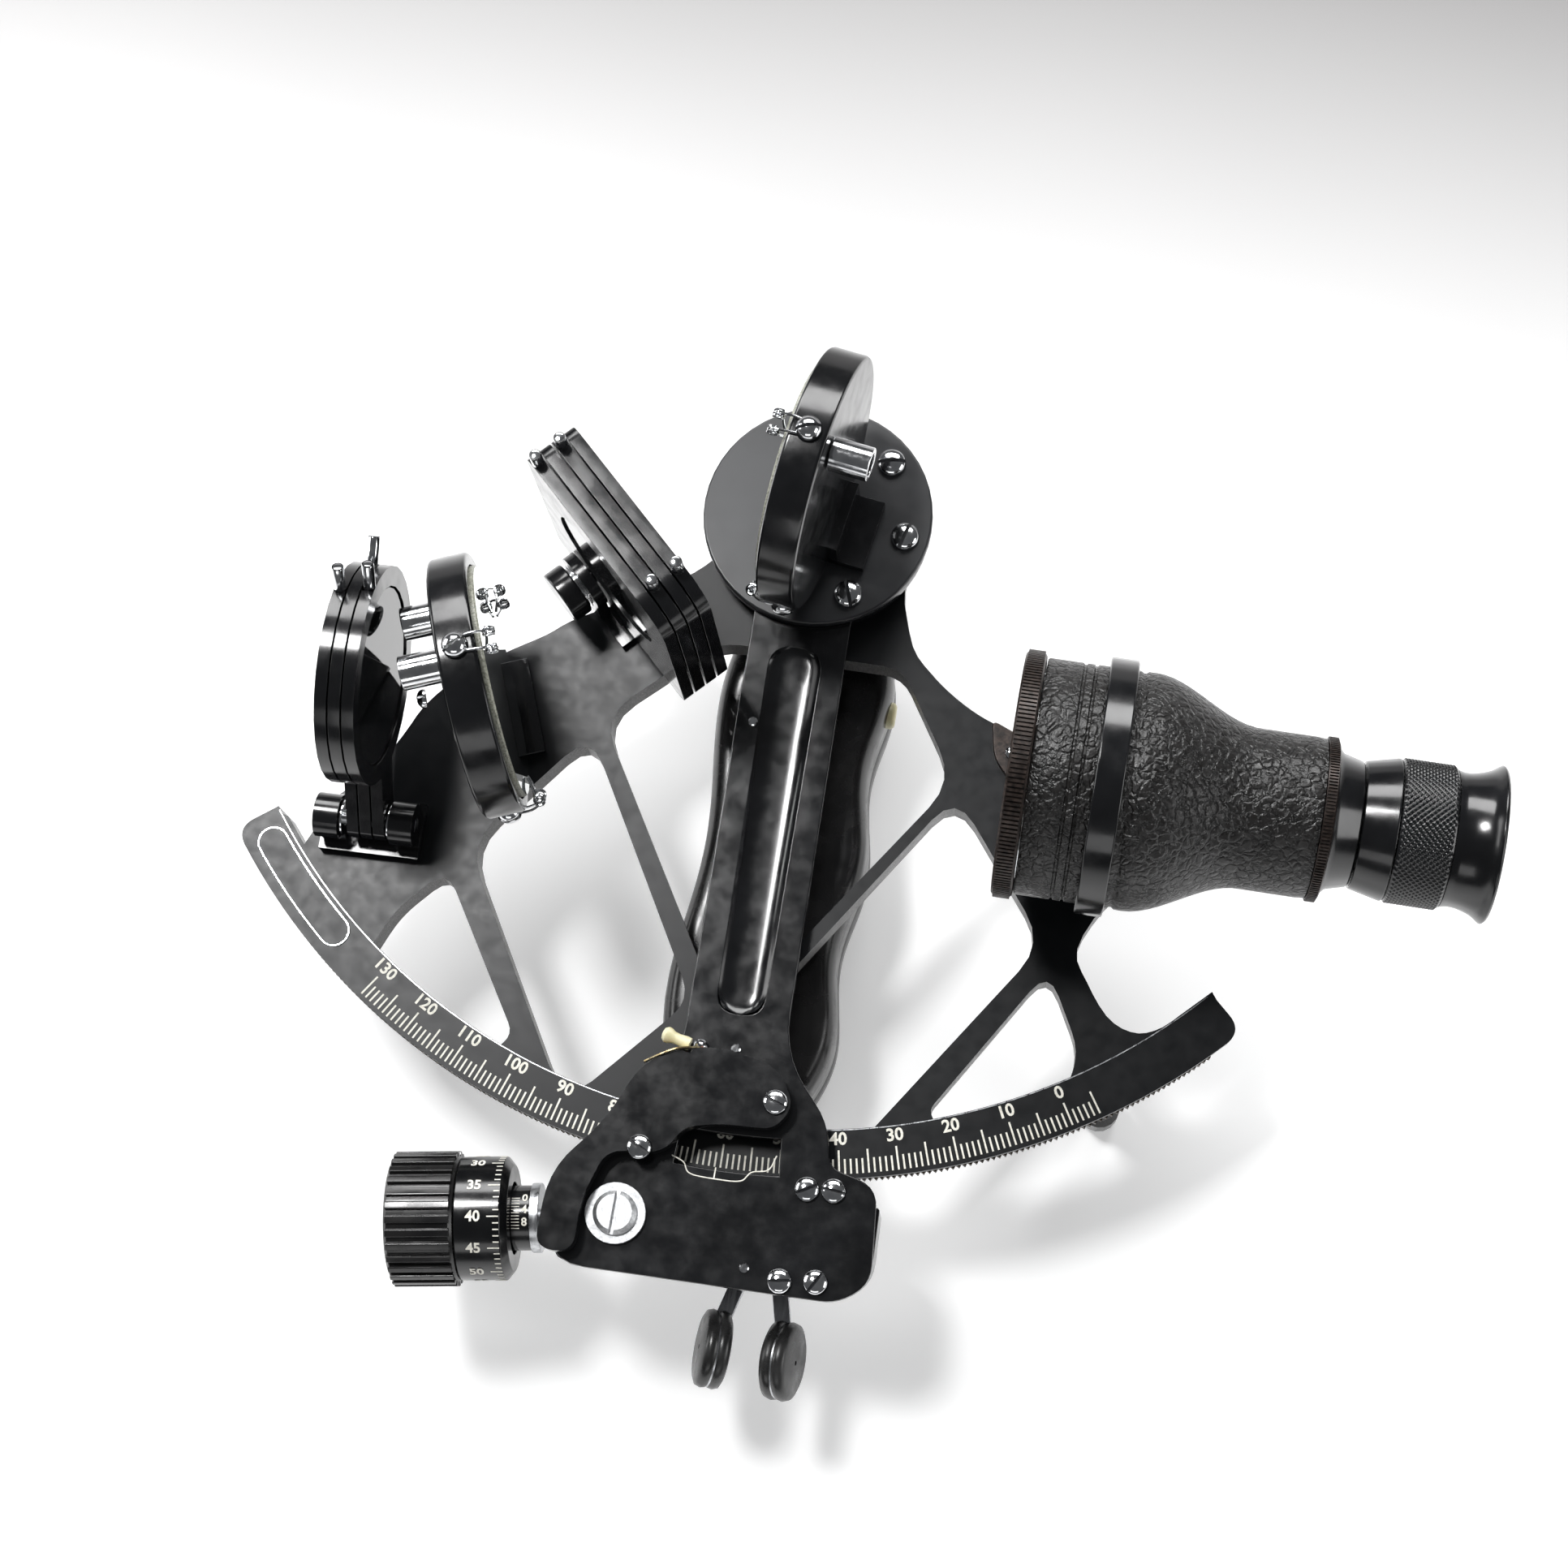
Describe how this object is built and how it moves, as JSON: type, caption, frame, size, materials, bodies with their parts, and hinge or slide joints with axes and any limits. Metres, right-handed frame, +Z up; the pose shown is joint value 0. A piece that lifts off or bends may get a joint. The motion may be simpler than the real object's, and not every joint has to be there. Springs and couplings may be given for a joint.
{
  "type": "nautical sextant",
  "caption": "Micrometer sextant: arc frame, swinging index arm with mirror, horizon mirror, swing-in shades, telescope and drum with release levers.",
  "frame": {"origin": "middle of the bounding box, at the height of the three feet", "axes": "+X along the telescope towards the eyepiece, +Y from the arc towards the index mirror, +Z up from the feet through the face of the arc"},
  "size_m": [0.295, 0.2412, 0.1242],
  "materials": {
    "casting": "satin black powder coat",
    "gloss_black": "gloss black enamel",
    "black_plastic": "moulded",
    "rubber": "smooth",
    "leatherette": "pebbled",
    "knurled_ring": "anodised, knurled",
    "steel": "brushed",
    "chrome": "polished",
    "bronze": "machined, darkened",
    "mirror_glass": "silvered glass",
    "clear_glass": "clear optical glass",
    "shade_glass": "dark neutral filter glass",
    "ivory_plastic": "moulded, aged ivory"
  },
  "bodies": {
    "frame": {"frame_casting": "casting", "worm_rack": "bronze", "leg_left": "black_plastic", "leg_right": "black_plastic", "leg_rear": "black_plastic", "pivot_bush": "bronze", "handle_upper_shell": "black_plastic", "handle_lower_shell": "black_plastic", "battery_cell_1": "steel", "battery_cell_2": "steel", "telescope_bracket": "gloss_black", "objective_ring": "knurled_ring", "objective_lens": "clear_glass", "telescope_barrel": "leatherette", "horizon_mirror_frame": "gloss_black", "horizon_mirror_glass": "mirror_glass", "horizon_mirror_adjuster_top": "chrome", "horizon_mirror_adjuster_side": "chrome", "horizon_shade_bracket": "gloss_black", "horizon_shade_shaft": "steel", "index_shade_bracket": "gloss_black", "index_shade_knob": "gloss_black"},
    "lamp_button": {"lamp_button": "ivory_plastic"},
    "focus_slide": {"eyepiece_sleeve": "gloss_black", "eye_lens": "clear_glass"},
    "focus_grip": {"focus_ring": "knurled_ring", "eyecup": "rubber"},
    "index_arm": {"index_arm": "gloss_black", "arm_journal": "steel", "mirror_base_disc": "gloss_black", "index_mirror_frame": "gloss_black", "index_mirror_glass": "mirror_glass", "index_mirror_adjuster": "chrome", "micrometer_cover": "gloss_black", "micrometer_housing": "gloss_black", "carriage_pivot_screw": "chrome", "lamp_bulb": "ivory_plastic"},
    "worm_carriage": {"worm_carriage": "casting", "vernier_sleeve": "gloss_black"},
    "micrometer_drum": {"micrometer_knob": "black_plastic", "micrometer_drum": "gloss_black", "worm_shaft": "steel"},
    "release_lever_left": {"release_lever_left": "steel", "release_pad_left": "rubber"},
    "release_lever_right": {"release_lever_right": "steel", "release_pad_right": "rubber"},
    "horizon_shade_1": {"horizon_shade_1": "gloss_black", "horizon_shade_glass_1": "shade_glass"},
    "horizon_shade_2": {"horizon_shade_2": "gloss_black", "horizon_shade_glass_2": "shade_glass"},
    "horizon_shade_3": {"horizon_shade_3": "gloss_black", "horizon_shade_glass_3": "shade_glass"},
    "index_shade_1": {"index_shade_1": "gloss_black", "index_shade_glass_1": "shade_glass"},
    "index_shade_2": {"index_shade_2": "gloss_black", "index_shade_glass_2": "shade_glass"},
    "index_shade_3": {"index_shade_3": "gloss_black", "index_shade_glass_3": "shade_glass"},
    "index_shade_4": {"index_shade_4": "gloss_black", "index_shade_glass_4": "shade_glass"}
  },
  "joints": [
    {"name": "arm_swing", "type": "hinge", "parent": "frame", "child": "index_arm", "pos_m": [-0.01972, 0.09177, 0.05], "axis": [0, 0, 1], "range_deg": [-34.6, 32.8]},
    {"name": "drum_turn", "type": "hinge", "parent": "worm_carriage", "child": "micrometer_drum", "pos_m": [-0.09373, -0.09473, 0.045], "axis": [0.9851, 0.1719, 0], "continuous": true},
    {"name": "lever_left_squeeze", "type": "hinge", "parent": "index_arm", "child": "release_lever_left", "pos_m": [-0.00613, -0.08923, 0.034], "axis": [0, 0, 1], "range_deg": [0, 7], "stiffness_Nm_per_rad": 0.6},
    {"name": "lever_right_squeeze", "type": "hinge", "parent": "index_arm", "child": "release_lever_right", "pos_m": [-0.00093, -0.08923, 0.034], "axis": [0, 0, -1], "range_deg": [0, 7], "stiffness_Nm_per_rad": 0.6},
    {"name": "worm_release", "type": "hinge", "parent": "index_arm", "child": "worm_carriage", "pos_m": [-0.03793, -0.08523, 0.05], "axis": [0, 0, -1], "range_deg": [0, 2.24]},
    {"name": "lamp_button_press", "type": "slide", "parent": "frame", "child": "lamp_button", "axis": [-1, 0, 0], "range_m": [0, 0.0018], "stiffness_N_per_m": 250},
    {"name": "focus_turn", "type": "hinge", "parent": "focus_slide", "child": "focus_grip", "pos_m": [0.13028, 0.02537, 0.09], "axis": [1, 0, 0], "range_deg": [0, 270]},
    {"name": "focus_travel", "type": "slide", "parent": "frame", "child": "focus_slide", "axis": [1, 0, 0], "range_m": [0, 0.004]},
    {"name": "horizon_shade_1_swing", "type": "hinge", "parent": "frame", "child": "horizon_shade_1", "pos_m": [-0.11403, -0.00213, 0.0596], "axis": [0.9994, 0.0349, 0], "range_deg": [0, 95]},
    {"name": "horizon_shade_2_swing", "type": "hinge", "parent": "frame", "child": "horizon_shade_2", "pos_m": [-0.11403, -0.00213, 0.0596], "axis": [0.9994, 0.0349, 0], "range_deg": [0, 95]},
    {"name": "horizon_shade_3_swing", "type": "hinge", "parent": "frame", "child": "horizon_shade_3", "pos_m": [-0.11403, -0.00213, 0.0596], "axis": [0.9994, 0.0349, 0], "range_deg": [0, 95]},
    {"name": "index_shade_1_swing", "type": "hinge", "parent": "frame", "child": "index_shade_1", "pos_m": [-0.07127, 0.06519, 0.066], "axis": [-0.6884, -0.7254, 0], "range_deg": [0, 100]},
    {"name": "index_shade_2_swing", "type": "hinge", "parent": "frame", "child": "index_shade_2", "pos_m": [-0.07127, 0.06519, 0.066], "axis": [-0.6884, -0.7254, 0], "range_deg": [0, 100]},
    {"name": "index_shade_3_swing", "type": "hinge", "parent": "frame", "child": "index_shade_3", "pos_m": [-0.07127, 0.06519, 0.066], "axis": [-0.6884, -0.7254, 0], "range_deg": [0, 100]},
    {"name": "index_shade_4_swing", "type": "hinge", "parent": "frame", "child": "index_shade_4", "pos_m": [-0.07127, 0.06519, 0.066], "axis": [-0.6884, -0.7254, 0], "range_deg": [0, 100]}
  ],
  "couplings": [
    {"joint": "lever_right_squeeze", "follows": "lever_left_squeeze", "ratio": 1},
    {"joint": "worm_release", "follows": "lever_left_squeeze", "ratio": 0.32},
    {"joint": "focus_turn", "follows": "focus_travel", "rad_per_m": 1178.1}
  ]
}
